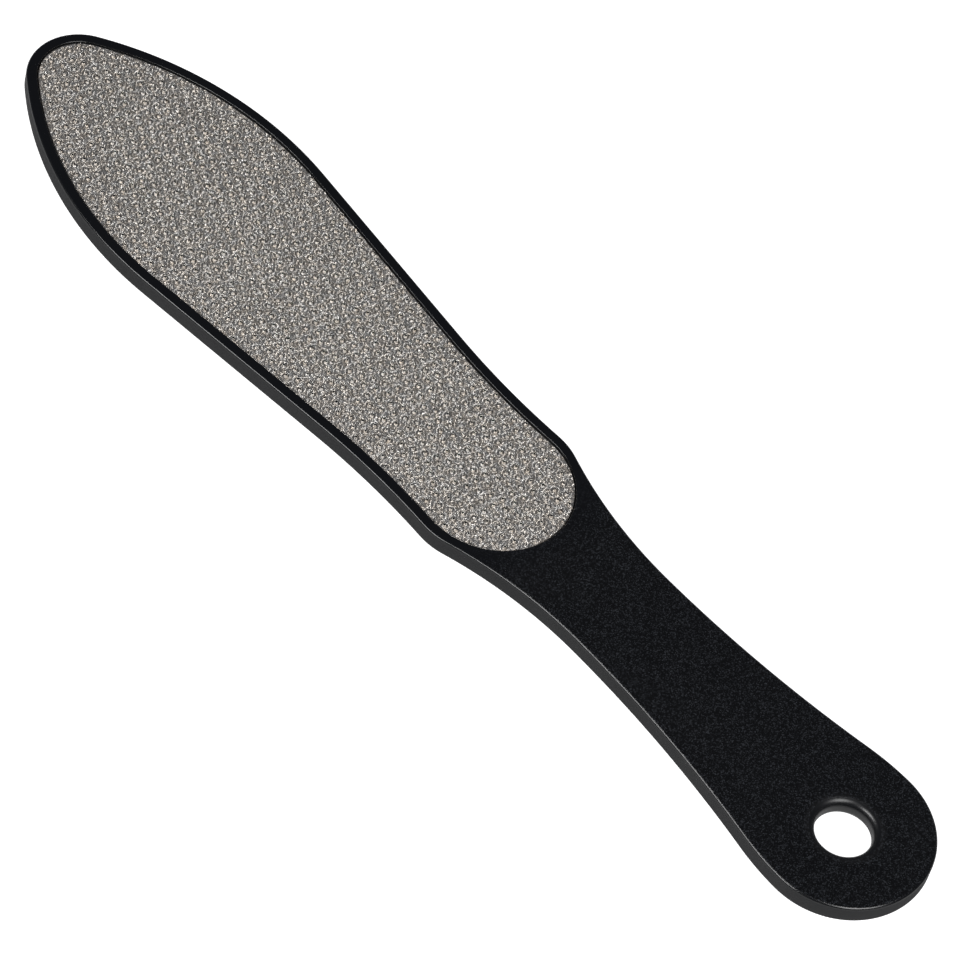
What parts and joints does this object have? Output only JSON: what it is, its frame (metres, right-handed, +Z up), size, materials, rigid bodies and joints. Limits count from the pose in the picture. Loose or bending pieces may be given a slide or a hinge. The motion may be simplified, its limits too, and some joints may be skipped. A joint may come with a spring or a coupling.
{
  "type": "foot file",
  "caption": "Flat moulded paddle with a toothed metal file plate bonded in a shallow pocket in its head, and a hanging hole in its round handle end.",
  "frame": {"origin": "on the underside, under the middle of the length, on the centre line", "axes": "+X along the length from the nose of the head to the handle end, +Z up out of the toothed face, +Y across"},
  "size_m": [0.25, 0.0482, 0.0043],
  "materials": {
    "paddle_plastic": "black moulded ABS with a fine spark-eroded grain",
    "adhesive": "double-sided acrylic film",
    "plate_metal": "formed stainless steel sheet with raised cratered teeth"
  },
  "bodies": {
    "root": {"paddle": "paddle_plastic", "adhesive_film": "adhesive", "file_plate": "plate_metal"}
  },
  "joints": []
}
